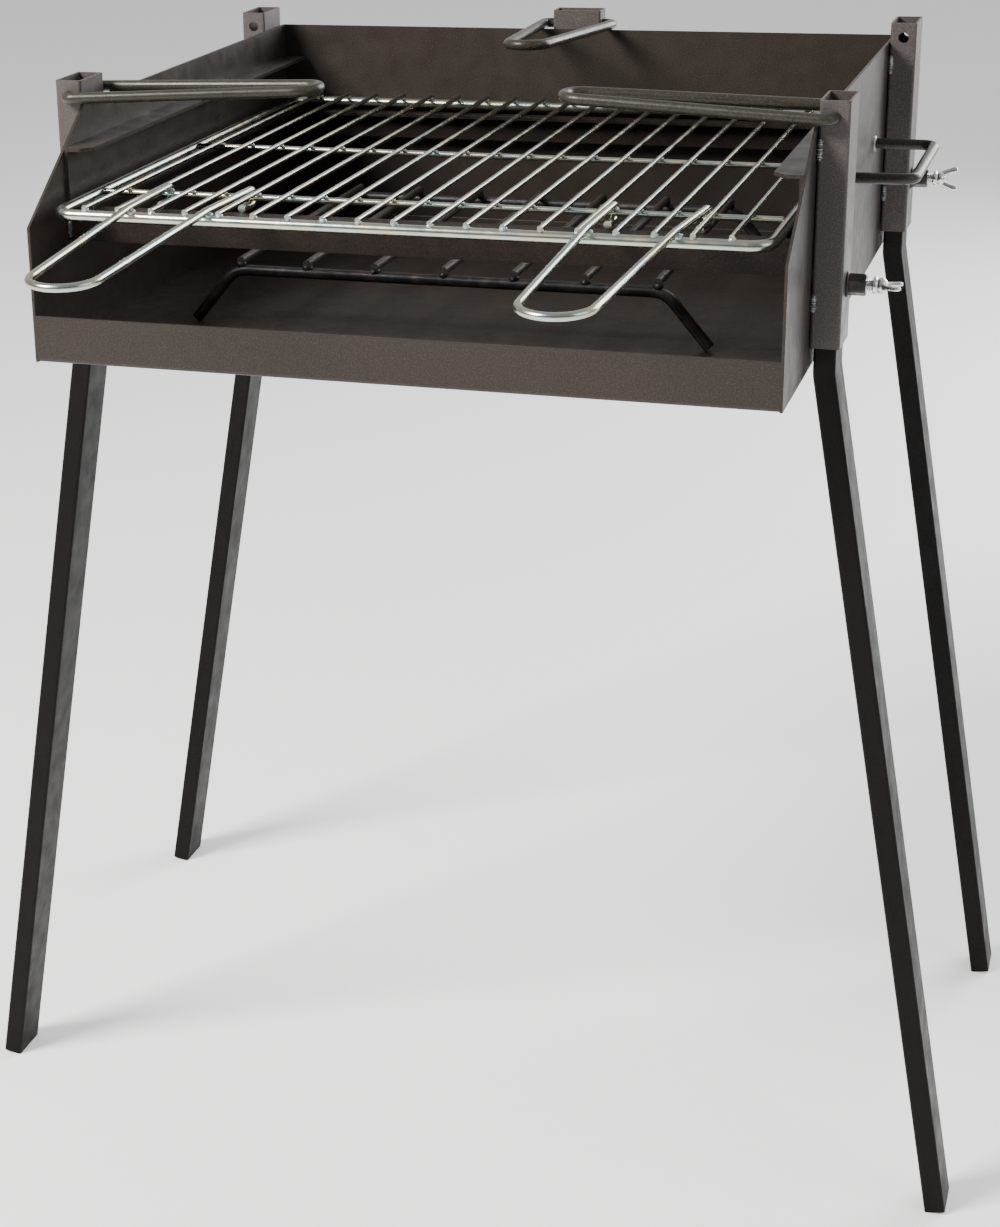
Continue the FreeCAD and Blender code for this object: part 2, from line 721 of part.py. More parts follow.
def grid_handle(side, sign):
    """Handle of the grid: two legs hook under the front rung, cross the rim, and meet in a sloping bow.

    The legs draw together towards the bow, and each handle leans a little to the left, the right one more.
    """
    name = f"grip_{side}"
    rod = "size.grip_rod"
    drop = "(size.grip_drop * 1deg)"
    own_lean = f"size.grip_lean_{side}"
    lean = f"({own_lean} * 1deg)"
    across_rim = "(size.rung_front - size.grid_front)"
    # in the plane of the bow, from the rim: how far forwards and sideways the middle of its end arc is
    ahead_to_arc = f"((size.grip_reach - {across_rim}) / cos{drop} - size.grip_tip)"
    aside_to_arc = f"({sign} * size.grip_offset - ({across_rim} + {ahead_to_arc}) * tan{lean})"
    rim_y = f"{BOX_FRONT} + size.grid_front"
    rung_y = f"{BOX_FRONT} + size.rung_front"
    rung_z = f"{GRID_TOP} - size.rung_rod / 2"
    curl = f"(size.rung_rod / 2 + {rod} / 2 + size.grip_fit)"
    rod_z = f"{rung_z} + {curl}"
    runs = {}
    starts = {}
    pieces = []
    for label, way in (("left", -1), ("right", 1)):
        leg_name = f"{name}_{label}"
        slant = f"(({own_lean} + {way} * size.grip_taper) * 1deg)"
        runs[label] = f"({ahead_to_arc} + {way} * size.grip_tip * sin{slant}) / cos{slant}"
        starts[label] = f"({aside_to_arc} + {ahead_to_arc} * tan{slant} + {way} * size.grip_tip / cos{slant})"
        hook_x = f"{starts[label]} + {across_rim} * tan{slant}"
        angle = math.radians(read(own_lean) + way * read("size.grip_taper"))
        behind = FreeCAD.Vector(math.sin(angle), math.cos(angle), 0)
        backwards = FreeCAD.Rotation(Z_AXIS, behind)
        # the pressed bend is a touch thicker than the rod
        bend = primitive("Sphere", f"{leg_name}_bend", Radius=f"{rod} / 2 + size.grip_fit")
        place(bend, starts[label], rim_y, rod_z)
        top_run = f"{across_rim} / cos{slant}"
        top = straight_rod(f"{leg_name}_top", rod, top_run, starts[label], rim_y, rod_z, backwards)
        hook = primitive("Torus", f"{leg_name}_hook", Radius1=curl, Radius2=f"{rod} / 2")
        hook.Angle3 = 180
        # the half ring stands upright behind the rung, in line with its leg
        place(hook, hook_x, rung_y, rung_z, FreeCAD.Rotation(-Z_AXIS, behind, behind.cross(Z_AXIS)))
        forwards = FreeCAD.Rotation(Z_AXIS, -behind)
        tail_z = f"{rung_z} - {curl}"
        tail = straight_rod(f"{leg_name}_tail", rod, "size.grip_hook", hook_x, rung_y, tail_z, forwards)
        pieces += [bend, top, hook, tail]
    turn_back = "180 - 2 * size.grip_taper"
    bow_moves = [(runs["left"], turn_back, "size.grip_tip"), (runs["right"], "0", "0")]
    bow = bent_rod(f"{name}_bow", rod, bow_moves)
    # the bow's own X runs along its left leg, forwards and down, and its own Y to the right
    slope = math.radians(read("size.grip_drop"))
    left_slant = math.radians(read(f"{own_lean} - size.grip_taper"))
    down_slope = FreeCAD.Vector(0, -math.cos(slope), -math.sin(slope))
    ahead = down_slope * math.cos(left_slant) - X_AXIS * math.sin(left_slant)
    rightwards = X_AXIS * math.cos(left_slant) + down_slope * math.sin(left_slant)
    turn = FreeCAD.Rotation(ahead, rightwards, ahead.cross(rightwards))
    pieces.append(place(bow, starts["left"], rim_y, rod_z, turn))
    keep(fuse(name, pieces), f"grid_handle_{side}")


def ember_bridge(end):
    """One end of the ember grate: a rod bent into a low bridge on two splayed feet."""
    lean_angle = "(size.ember_lean * 1deg)"
    rise = f"(size.ember_height - size.ember_rod / 2 * sin{lean_angle})"
    # the bend takes this much off the leg and off the bar, each side of the corner
    corner = "(size.ember_bend * tan((90deg - size.ember_lean * 1deg) / 2))"
    leg_run = f"{rise} / cos{lean_angle} - {corner}"
    bar_run = f"size.ember_width - 2 * {corner}"
    moves = [
        (leg_run, "90 - size.ember_lean", "size.ember_bend"),
        (bar_run, "90 - size.ember_lean", "size.ember_bend"),
        (leg_run, "0", "0"),
    ]
    body = bent_rod(f"bridge_{end}", "size.ember_rod", moves)
    lean = math.radians(read("size.ember_lean"))
    # local X points up the right foot, and the path turns left from it, in a plane that faces the front
    up_foot = FreeCAD.Vector(-math.sin(lean), 0, math.cos(lean))
    leftwards = FreeCAD.Vector(-math.cos(lean), 0, -math.sin(lean))
    turn = FreeCAD.Rotation(up_foot, leftwards, up_foot.cross(leftwards))
    x = f"size.ember_width / 2 + {rise} * tan{lean_angle}"
    z = f"{FLOOR_TOP} + size.ember_rod / 2 * sin{lean_angle}"
    keep(place(body, x, f"{BOX_FRONT} + size.ember_{end}", z, turn), f"ember_grate_{end}")


def ember_bars():
    """Rods from front to back, on top of the two bridges."""
    bars = []
    for step in EMBER_STEPS:
        length = "size.ember_rear - size.ember_front + 2 * size.ember_overhang"
        y = f"{BOX_FRONT} + size.ember_front - size.ember_overhang"
        z = f"{FLOOR_TOP} + size.ember_height + size.ember_rod / 2 + size.ember_bar_rod / 2"
        x = f"{step} * size.ember_bar_pitch"
        name = f"ember_bar_{step - EMBER_STEPS[0] + 1}"
        bars.append(straight_rod(name, "size.ember_bar_rod", length, x, y, z, Z_TO_Y))
    keep(group("ember_bars", bars), "ember_grate_bars")


def build():
    box_pan()
    rear_bracket()
    rear_arm()
    nuts = []
    for side, sign in SIDES.items():
        side_panel(side, sign)
        side_handle(side, sign)
        side_arm(side, sign)
        grid_guide(side, sign)
        grid_handle(side, sign)
        for end in ENDS:
            corner_post(end, side, sign)
            leg(end, side, sign)
            clamp_screw(end, side, sign)
            screw_wing(end, side, sign)
            nuts.append(clamp_nut(f"nut_{end}_{side}", f"{sign} * {POST_FACE}", post_middle(end), sign))
    keep(group("nuts", nuts), "clamp_nuts")
    for end in ENDS:
        crossbar(end)
        ember_bridge(end)
    grid_frame()
    grid_rungs()
    grid_wires()
    ember_bars()
    doc.recompute()


def export():
    """Writes one STEP file per sub-part, once everything in the document is sound."""
    for obj in doc.Objects:
        if "Invalid" in obj.State or "Error" in obj.State:
            raise RuntimeError(f"{obj.Label} did not compute: {obj.State}")
    for part in SUBPARTS:
        if part.Shape.isNull() or not part.Shape.isValid() or not part.Shape.Solids:
            raise RuntimeError(f"{part.Label} has no valid solid")
    os.makedirs("parts", exist_ok=True)
    for part in SUBPARTS:
        part.Shape.exportStep(f"parts/{part.Label}.step")
        box = part.Shape.BoundBox
        print(
            f"{part.Label:26s} {len(part.Shape.Solids):2d} solids {part.Shape.Volume:10.0f} mm3 "
            f"x {box.XMin:7.1f} {box.XMax:7.1f} y {box.YMin:7.1f} {box.YMax:7.1f} "
            f"z {box.ZMin:6.1f} {box.ZMax:6.1f}"
        )


build()
export()
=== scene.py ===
import math
import random

import bmesh
import bpy
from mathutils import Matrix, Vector


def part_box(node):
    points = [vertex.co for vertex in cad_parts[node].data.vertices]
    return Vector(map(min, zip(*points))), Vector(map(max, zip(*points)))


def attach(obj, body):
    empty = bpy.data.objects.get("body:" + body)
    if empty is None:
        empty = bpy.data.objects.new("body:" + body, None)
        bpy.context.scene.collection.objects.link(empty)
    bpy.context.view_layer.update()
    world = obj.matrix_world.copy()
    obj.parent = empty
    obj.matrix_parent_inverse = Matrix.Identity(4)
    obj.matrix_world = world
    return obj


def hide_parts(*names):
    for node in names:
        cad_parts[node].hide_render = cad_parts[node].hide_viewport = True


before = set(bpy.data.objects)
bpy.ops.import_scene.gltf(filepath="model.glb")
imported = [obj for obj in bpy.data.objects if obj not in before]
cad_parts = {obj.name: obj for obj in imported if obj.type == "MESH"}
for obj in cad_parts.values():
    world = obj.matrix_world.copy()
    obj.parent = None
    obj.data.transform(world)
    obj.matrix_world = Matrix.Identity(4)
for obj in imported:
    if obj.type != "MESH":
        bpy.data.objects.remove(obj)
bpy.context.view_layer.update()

MM = 0.001
SIDES = {"left": -1, "right": 1}
ENDS = ("front", "rear")
AXIS_X = Vector((1, 0, 0))
AXIS_Y = Vector((0, 1, 0))
AXIS_Z = Vector((0, 0, 1))


# ---- node helpers ----

def add_node(tree, kind, links=None, **values):
    """Adds a shader node, sets its properties or input values, and links its inputs."""
    node = tree.nodes.new(kind)
    for name, value in values.items():
        if hasattr(node, name):
            setattr(node, name, value)
        else:
            node.inputs[name.replace("_", " ")].default_value = value
    for name, source in (links or {}).items():
        tree.links.new(source, node.inputs[name])
    return node


def noise(tree, scale, detail=3.0, roughness=0.5):
    """Noise over the object's own coordinates, in features per metre."""
    coordinates = add_node(tree, "ShaderNodeTexCoord").outputs["Object"]
    links = {"Vector": coordinates}
    node = add_node(tree, "ShaderNodeTexNoise", links, Scale=scale, Detail=detail, Roughness=roughness)
    return node.outputs["Fac"]


def cells(tree, scale):
    """Distance to the nearest of many scattered points, for specks and pits."""
    coordinates = add_node(tree, "ShaderNodeTexCoord").outputs["Object"]
    return add_node(tree, "ShaderNodeTexVoronoi", {"Vector": coordinates}, Scale=scale).outputs["Distance"]


def remap(tree, source, low, high, to_low, to_high):
    node = add_node(tree, "ShaderNodeMapRange", {"Value": source})
    for name, value in zip(("From Min", "From Max", "To Min", "To Max"), (low, high, to_low, to_high)):
        node.inputs[name].default_value = value
    return node.outputs["Result"]


def colour_mix(tree, factor, first, second):
    """Mixes two colours; each is a tuple or another node's output."""
    node = tree.nodes.new("ShaderNodeMix")
    node.data_type = "RGBA"
    tree.links.new(factor, node.inputs["Factor"])
    for socket, value in ((node.inputs[6], first), (node.inputs[7], second)):
        if isinstance(value, tuple):
            socket.default_value = (*value, 1.0)
        else:
            tree.links.new(value, socket)
    return node.outputs[2]


def surface(name, metallic):
    material = bpy.data.materials.new(name)
    material.use_nodes = True
    shader = material.node_tree.nodes["Principled BSDF"]
    shader.inputs["Metallic"].default_value = metallic
    return material, material.node_tree, shader


def bump(tree, shader, layers):
    """Stacks bump layers, each a height source with its strength and depth in metres."""
    normal = None
    for height, strength, depth in layers:
        node = add_node(tree, "ShaderNodeBump", {"Height": height}, Strength=strength, Distance=depth)
        if normal is not None:
            tree.links.new(normal, node.inputs["Normal"])
        normal = node.outputs["Normal"]
    tree.links.new(normal, shader.inputs["Normal"])


# ---- materials ----

def heat_paint(name, base, tint, speck, gloss, shine=0.28):
    """Heat-resistant paint: fine speckle over a colour that drifts slowly, with a slight orange peel."""
    material, tree, shader = surface(name, 0.12)
    shader.inputs["Specular IOR Level"].default_value = shine
    drift = remap(tree, noise(tree, 5, 4, 0.6), 0.36, 0.68, 0.0, 1.0)
    body = colour_mix(tree, drift, base, tint)
    mottle = remap(tree, noise(tree, 850, 2, 0.6), 0.46, 0.72, 0.0, 0.60)
    mottled = colour_mix(tree, mottle, body, speck)
    grain = remap(tree, noise(tree, 1700, 2, 0.6), 0.30, 0.47, 0.80, 0.0)
    pits = tuple(0.35 * c for c in base)
    tree.links.new(colour_mix(tree, grain, mottled, pits), shader.inputs["Base Color"])
    sheen = remap(tree, noise(tree, 60, 4), 0.3, 0.7, gloss - 0.07, gloss + 0.09)
    tree.links.new(sheen, shader.inputs["Roughness"])
    bump(tree, shader, [
        (noise(tree, 1300, 2, 0.6), 0.35, 0.0002),
        (noise(tree, 260, 3, 0.5), 0.18, 0.0004),
    ])
    return material


def bright_zinc(name):
    """Passivated zinc plating: pale metal that drifts between bluish and yellowish, with drawing marks."""
    material, tree, shader = surface(name, 1.0)
    drift = remap(tree, noise(tree, 35, 3), 0.35, 0.65, 0.0, 1.0)
    pale = colour_mix(tree, drift, (0.40, 0.47, 0.45), (0.50, 0.46, 0.34))
    dull = remap(tree, noise(tree, 45, 2, 0.5), 0.45, 0.75, 0.0, 0.45)
    tree.links.new(colour_mix(tree, dull, pale, (0.30, 0.30, 0.26)), shader.inputs["Base Color"])
    tree.links.new(remap(tree, noise(tree, 70, 2), 0.3, 0.7, 0.18, 0.28), shader.inputs["Roughness"])
    bump(tree, shader, [(noise(tree, 500, 2, 0.5), 0.05, 0.0001)])
    return material


def screw_zinc(name):
    """Zinc-plated forging with a slightly cast, uneven skin."""
    material, tree, shader = surface(name, 1.0)
    patches = remap(tree, noise(tree, 500, 4, 0.7), 0.42, 0.66, 0.0, 1.0)
    skin = colour_mix(tree, patches, (0.80, 0.80, 0.78), (0.50, 0.50, 0.50))
    tree.links.new(skin, shader.inputs["Base Color"])
    tree.links.new(remap(tree, noise(tree, 700, 3), 0.3, 0.7, 0.16, 0.36), shader.inputs["Roughness"])
    bump(tree, shader, [(noise(tree, 800, 3, 0.5), 0.30, 0.0002)])
    return material


def black_steel(name, base, gloss):
    """Blackened steel with a thin brown bloom where it has handled heat."""
    material, tree, shader = surface(name, 0.55)
    bloom = remap(tree, noise(tree, 90, 4, 0.65), 0.46, 0.72, 0.0, 0.8)
    tree.links.new(colour_mix(tree, bloom, base, (0.075, 0.058, 0.048)), shader.inputs["Base Color"])
    sheen = remap(tree, noise(tree, 400, 3), 0.3, 0.7, gloss - 0.08, gloss + 0.12)
    tree.links.new(sheen, shader.inputs["Roughness"])
    bump(tree, shader, [(noise(tree, 1100, 3, 0.6), 0.35, 0.0002), (cells(tree, 520), 0.12, 0.0002)])
    return material


def weld_steel(name, base):
    """Cooled weld metal: grey, with a soot-dark film in its hollows."""
    material, tree, shader = surface(name, 0.85)
    film = remap(tree, noise(tree, 650, 4, 0.7), 0.45, 0.70, 0.0, 0.85)
    tree.links.new(colour_mix(tree, film, base, tuple(0.38 * c for c in base)), shader.inputs["Base Color"])
    tree.links.new(remap(tree, noise(tree, 500, 2), 0.3, 0.7, 0.32, 0.55), shader.inputs["Roughness"])
    bump(tree, shader, [(noise(tree, 1200, 3), 0.4, 0.0003)])
    return material


def pale_floor(name):
    """Matt white sweep, faintly lit from within as a studio's backdrop is."""
    material, tree, shader = surface(name, 0.0)
    drift = noise(tree, 0.8, 2)
    white = colour_mix(tree, drift, (0.92, 0.92, 0.92), (0.96, 0.96, 0.96))
    tree.links.new(white, shader.inputs["Base Color"])
    shader.inputs["Roughness"].default_value = 0.9
    shader.inputs["Emission Color"].default_value = (1.0, 1.0, 1.0, 1.0)
    shader.inputs["Emission Strength"].default_value = 0.25
    return material


MATERIALS = {
    "sheet": heat_paint(
        "sheet_paint",
        base=(0.024, 0.019, 0.016),
        tint=(0.030, 0.022, 0.017),
        speck=(0.058, 0.047, 0.040),
        gloss=0.42,
    ),
    # posts and the rear bracket: the tube paint made several times lighter, painted light for their
    # brightly lit faces
    "post": heat_paint(
        "post_paint_painted_light",
        base=(0.064, 0.055, 0.052),
        tint=(0.078, 0.065, 0.060),
        speck=(0.135, 0.118, 0.110),
        gloss=0.42,
    ),
    # legs: the same tube paint made near-black, painted shade for the shade on the legs
    "leg": heat_paint(
        "leg_paint_painted_shade",
        base=(0.004, 0.0035, 0.0035),
        tint=(0.006, 0.005, 0.0045),
        speck=(0.013, 0.011, 0.010),
        gloss=0.45,
        shine=0.10,
    ),
    # crossbar: the sheet paint made darker, painted shade for the shade it sits in below the grid
    "bar": heat_paint(
        "crossbar_paint_painted_shade",
        base=(0.012, 0.009, 0.007),
        tint=(0.018, 0.012, 0.009),
        speck=(0.034, 0.024, 0.019),
        gloss=0.50,
        shine=0.15,
    ),
    "rod": heat_paint(
        "rod_paint",
        base=(0.026, 0.023, 0.018),
        tint=(0.034, 0.029, 0.021),
        speck=(0.070, 0.062, 0.048),
        gloss=0.32,
    ),
    "grid": bright_zinc("grid_zinc_plating"),
    "screw": screw_zinc("screw_zinc_plating"),
    "nut": black_steel("nut_black_finish", (0.020, 0.019, 0.019), 0.36),
    "ember": black_steel("ember_grate_finish", (0.016, 0.016, 0.019), 0.42),
    "ember_bar": heat_paint(
        "ember_bar_paint",
        base=(0.034, 0.031, 0.025),
        tint=(0.042, 0.036, 0.029),
        speck=(0.080, 0.072, 0.060),
        gloss=0.45,
    ),
    "weld": weld_steel("weld_metal", (0.27, 0.29, 0.29)),
    "grid_weld": weld_steel("grid_weld_metal", (0.42, 0.48, 0.47)),
    "floor": pale_floor("floor_matt"),
}

FINISHES = {
    "box_pan": "sheet",
    "side_panel": "sheet",
    "grid_guide": "sheet",
    "crossbar": "bar",
    "post": "post",
    "leg": "leg",
    "rear_arm_bracket": "post",
    "pan_arm": "rod",
    "side_handle": "rod",
    "clamp_screw": "screw",
    "screw_wing": "screw",
    "clamp_nuts": "nut",
    "grid_frame": "grid",
    "grid_rungs": "grid",
    "grid_wires": "grid",
    "grid_handle": "grid",
    "ember_grate_bars": "ember_bar",
    "ember_grate": "ember",
}


def dress_cad_nodes():
    """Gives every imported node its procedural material."""
    for name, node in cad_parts.items():
        finish = next(f for start, f in FINISHES.items() if name.startswith(start))
        for material_slot in node.material_slots:
            material_slot.material = MATERIALS[finish]


# ---- mesh helpers ----

def new_piece(name, mesh_data, finish, body):
    """Turns a bmesh into a smooth-shaded piece that rides on a body."""
    bmesh.ops.remove_doubles(mesh_data, verts=mesh_data.verts, dist=1e-7)
    bmesh.ops.recalc_face_normals(mesh_data, faces=mesh_data.faces)
    mesh = bpy.data.meshes.new(name)
    mesh_data.to_mesh(mesh)
    mesh_data.free()
    mesh.shade_smooth()
    mesh.set_sharp_from_angle(angle=math.radians(38))
    mesh.materials.append(MATERIALS[finish])
    piece = bpy.data.objects.new(name, mesh)
    bpy.context.scene.collection.objects.link(piece)
    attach(piece, body)
    return piece


def loft(mesh_data, rings, close_ends=True):
    """Skins a run of rings that have equal numbers of points."""
    loops = [[mesh_data.verts.new(point) for point in points] for points in rings]
    count = len(loops[0])
    for lower, upper in zip(loops, loops[1:]):
        for i in range(count):
            j = (i + 1) % count
            mesh_data.faces.new((lower[i], lower[j], upper[j], upper[i]))
    if close_ends:
        mesh_data.faces.new(loops[0])
        mesh_data.faces.new(loops[-1])
    return loops


def frame_along(direction):
    """Two unit vectors at right angles to a direction."""
    helper = AXIS_Z if abs(direction.z) < 0.9 else AXIS_X
    across = direction.cross(helper).normalized()
    return across, direction.cross(across).normalized()


def ring(centre, across, up, wide, tall, steps, power=1.0):
    """An oval ring; a power under 1 squares it off."""
    points = []
    for i in range(steps):
        angle = 2 * math.pi * i / steps
        c = math.cos(angle)
        s = math.sin(angle)
        u = math.copysign(abs(c) ** power, c) * wide
        v = math.copysign(abs(s) ** power, s) * tall
        points.append(centre + across * u + up * v)
    return points


def weld_bead(mesh_data, start, end, radius, seed):
    """A short rippled weld run with rounded ends."""
    dice = random.Random(seed)
    run = end - start
    across, up = frame_along(run.normalized())
    count = 28
    rings = []
    for i in range(count + 1):
        t = i / count
        swell = math.sqrt(max(0.0, 1 - (2 * t - 1) ** 4))
        ripple = 1 + 0.13 * math.sin(t * run.length / (1.6 * MM) * 2 * math.pi) + dice.uniform(-0.05, 0.05)
        size = max(radius * swell * ripple, radius * 0.02)
        sway = across * dice.uniform(-0.10, 0.10) * radius
        rings.append(ring(start + run * t + sway, across, up, size, size * 0.8, 12))
    loft(mesh_data, rings)


def weld_collar(mesh_data, centre, axis, inner, width, seed):
    """An uneven weld ring around the foot of a rod."""
    dice = random.Random(seed)
    across, up = frame_along(axis)
    steps = 36
    lumps = [dice.uniform(0.7, 1.25) for _ in range(9)]
    rings = []
    for i in range(steps):
        angle = 2 * math.pi * i / steps
        t = angle / (2 * math.pi) * len(lumps)
        k = int(t)
        blend = t - k
        lump = lumps[k % len(lumps)] * (1 - blend) + lumps[(k + 1) % len(lumps)] * blend
        out = across * math.cos(angle) + up * math.sin(angle)
        size = width * lump
        rings.append(ring(centre + out * (inner + size * 0.25), out, axis, size, size * 0.8, 10))
    loops = loft(mesh_data, rings, close_ends=False)
    for i in range(10):
        j = (i + 1) % 10
        mesh_data.faces.new((loops[-1][i], loops[-1][j], loops[0][j], loops[0][i]))


def weld_spot(mesh_data, centre, size, seed):
    """A small lumpy blob where two rods are welded."""
    dice = random.Random(seed)
    spot = bmesh.ops.create_icosphere(mesh_data, subdivisions=2, radius=1.0)["verts"]
    stretch = Vector((dice.uniform(0.9, 1.25), dice.uniform(0.9, 1.3), dice.uniform(0.8, 1.05)))
    for vert in spot:
        vert.co = Vector((vert.co.x * stretch.x, vert.co.y * stretch.y, vert.co.z * stretch.z))
        vert.co *= size * (1 + dice.uniform(-0.09, 0.09))
        vert.co += centre


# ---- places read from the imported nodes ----

def span(node):
    """Lowest and highest corner of a node, as vectors."""
    low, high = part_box(node)
    return Vector(low), Vector(high)


def middle(node):
    low, high = span(node)
    return (low + high) / 2


# ---- clamp screws ----

THREAD_PITCH = 1.25 * MM
THREAD_DEPTH = 0.62 * MM
SHANK_RADIUS = 4.0 * MM
SHANK_STEPS = 32
RINGS_PER_PITCH = 10
TIP_LENGTH = 1.6 * MM
REAR_WING_TURN = 75
PRONG_SPLAY = 20
PRONG_STEPS = 24
PRONG_SQUARENESS = 0.8
HUB_STEPS = 40
NUT_STEPS = 72
NUT_FLAT = 6.5


def threaded_shank(end, side, sign):
    """The screw's shank with its thread cut in, and a turned-down flat tip."""
    node = f"clamp_screw_{end}_{side}"
    low, high = span(node)
    centre = middle(node)
    start = low.x if sign > 0 else high.x
    length = high.x - low.x
    count = int(length / THREAD_PITCH * RINGS_PER_PITCH)
    rings = []
    for i in range(count + 1):
        along = length * i / count
        points = []
        for k in range(SHANK_STEPS):
            turn = k / SHANK_STEPS
            phase = (along / THREAD_PITCH - turn) % 1.0
            radius = SHANK_RADIUS - THREAD_DEPTH * abs(2 * phase - 1)
            if along < TIP_LENGTH:
                radius = min(radius, SHANK_RADIUS - 1.0 * MM + 0.6 * along)
            angle = 2 * math.pi * turn
            points.append(Vector((
                start + sign * along,
                centre.y + radius * math.cos(angle),
                centre.z + radius * math.sin(angle),
            )))
        rings.append(points)
    mesh_data = bmesh.new()
    loft(mesh_data, rings)
    piece = new_piece(f"thread_{end}_{side}", mesh_data, "screw", node)
    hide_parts(node)


def forged_wing(end, side, sign):
    """The screw's head: a collar and a swollen hub, with two flattened prongs that splay outwards."""
    node = f"screw_wing_{end}_{side}"
    low, high = span(node)
    centre = middle(node)
    base = low.x if sign > 0 else high.x
    outward = AXIS_X * sign
    root = Vector((base, centre.y, centre.z))
    turned = (high.y - low.y) < (high.z - low.z)
    lean = math.radians(REAR_WING_TURN if turned else 0)
    wide = AXIS_Y * math.cos(lean) + AXIS_Z * math.sin(lean)
    thick = outward.cross(wide)
    mesh_data = bmesh.new()
    profile = [
        (0.0, 4.2), (0.0, 5.6), (0.4, 6.0), (1.8, 6.0), (2.2, 5.5), (2.9, 4.9), (4.2, 5.3),
        (5.8, 5.5), (7.2, 5.0), (8.4, 3.9), (9.0, 2.4), (9.2, 0.6),
    ]
    rings = [
        ring(root + outward * along * MM, wide, thick, radius * MM, radius * MM, HUB_STEPS)
        for along, radius in profile
    ]
    loft(mesh_data, rings)
    for way in (1, -1):
        path = [
            (5.0, 2.2, 2.3, 2.4),
            (7.0, 3.6, 2.5, 2.3),
            (9.5, 4.9, 2.3, 1.7),
            (12.5, 6.1, 2.2, 1.5),
            (15.5, 7.1, 2.4, 1.5),
            (17.0, 7.5, 2.2, 1.4),
            (17.9, 7.75, 1.5, 1.0),
            (18.2, 7.85, 0.4, 0.3),
        ]
        splay = math.radians(PRONG_SPLAY)
        slope = (outward * math.cos(splay) + wide * way * math.sin(splay)).normalized()
        in_plane = thick.cross(slope).normalized()
        rings = [
            ring(
                root + outward * along * MM + wide * way * offset * MM,
                in_plane, thick, w * MM, d * MM, PRONG_STEPS, PRONG_SQUARENESS,
            )
            for along, offset, w, d in path
        ]
        loft(mesh_data, rings)
    piece = new_piece(f"wing_{end}_{side}", mesh_data, "screw", node)
    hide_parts(node)


def flanged_nuts():
    """Long hexagon nuts with chamfered corners, a round flange and a bored mouth."""
    mesh_data = bmesh.new()
    profile = [
        (0.0, 4.6, False), (0.0, 8.5, False), (1.2, 8.5, False), (1.7, 8.1, False), (1.8, 7.6, True),
        (11.9, 7.6, True), (12.6, 7.0, True), (13.0, 6.4, True), (13.0, 4.7, False), (12.4, 4.1, False),
        (6.0, 4.1, False),
    ]
    for end in ENDS:
        for side, sign in SIDES.items():
            screw = middle(f"clamp_screw_{end}_{side}")
            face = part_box(f"post_{end}_{side}")[1 if sign > 0 else 0][0]
            outward = AXIS_X * sign
            rings = []
            for along, radius, hexagonal in profile:
                points = []
                for i in range(NUT_STEPS):
                    angle = 2 * math.pi * i / NUT_STEPS
                    reach = radius
                    if hexagonal:
                        corner = (angle + math.pi / 6) % (math.pi / 3) - math.pi / 6
                        reach = min(radius, NUT_FLAT / math.cos(corner))
                    out = AXIS_Y * math.cos(angle) + AXIS_Z * math.sin(angle)
                    seat = Vector((face, screw.y, screw.z))
                    points.append(seat + outward * along * MM + out * reach * MM)
                rings.append(points)
            loft(mesh_data, rings, close_ends=False)
    piece = new_piece("flanged_nuts", mesh_data, "nut", "firebox")
    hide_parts("clamp_nuts")


# ---- welds ----

# each grid handle's middle, and from there, where its two legs cross the rim and the front rung
GRIP_OFFSET = 160.5 * MM
GRIP_LEGS_AT_RIM = {"left": (-29.2 * MM, 27.9 * MM), "right": (-31.7 * MM, 25.4 * MM)}
GRIP_LEGS_AT_RUNG = {"left": (-31.1 * MM, 31.1 * MM), "right": (-31.1 * MM, 31.2 * MM)}
GRIP_RADIUS = 2.75 * MM

def firebox_welds():
    """Weld runs that hold the posts, the rear bracket, the crossbars and the handles to the fire box."""
    mesh_data = bmesh.new()
    seed = 1
    for end in ENDS:
        for side, sign in SIDES.items():
            low, high = span(f"post_{end}_{side}")
            seam_x = (low.x if sign > 0 else high.x) + sign * 1.4 * MM
            for face_y, away in ((low.y, -1), (high.y, 1)):
                for share, length in ((0.15, 13 * MM), (0.76, 15 * MM)):
                    foot = Vector((seam_x, face_y + away * 0.4 * MM, low.z + (high.z - low.z) * share))
                    weld_bead(mesh_data, foot, foot + AXIS_Z * length, 2.9 * MM, seed)
                    seed += 1
    low, high = span("rear_arm_bracket")
    for x in (low.x, high.x):
        for share in (0.16, 0.72):
            foot = Vector((x, low.y + 0.6 * MM, low.z + (high.z - low.z) * share))
            weld_bead(mesh_data, foot, foot + AXIS_Z * 16 * MM, 2.8 * MM, seed)
            seed += 1
    for end in ENDS:
        low, high = span(f"crossbar_{end}")
        face_y = low.y if end == "front" else high.y
        for sign in SIDES.values():
            foot = Vector((sign * (high.x - 1.2 * MM), face_y - 0.3 * MM, low.z + 2 * MM))
            weld_bead(mesh_data, foot, foot + AXIS_Z * 15 * MM, 2.4 * MM, seed)
            seed += 1
    for side, sign in SIDES.items():
        low, high = span(f"side_handle_{side}")
        wall = high.x if sign < 0 else low.x
        level = (low.z + high.z) / 2
        for y in (low.y + 4 * MM, high.y - 4 * MM):
            weld_collar(mesh_data, Vector((wall, y, level)), AXIS_X * sign, 3.9 * MM, 1.9 * MM, seed)
            seed += 1
    new_piece("firebox_welds", mesh_data, "weld", "firebox")


WIRE_COUNT = 19
EMBER_BAR_COUNT = 7


def wire_centres():
    """X of each grid wire, from the wires' own row of solids."""
    low, high = span("grid_wires")
    radius = (high.z - low.z) / 2
    first = low.x + radius
    pitch = (high.x - low.x - 2 * radius) / (WIRE_COUNT - 1)
    return [first + pitch * i for i in range(WIRE_COUNT)]


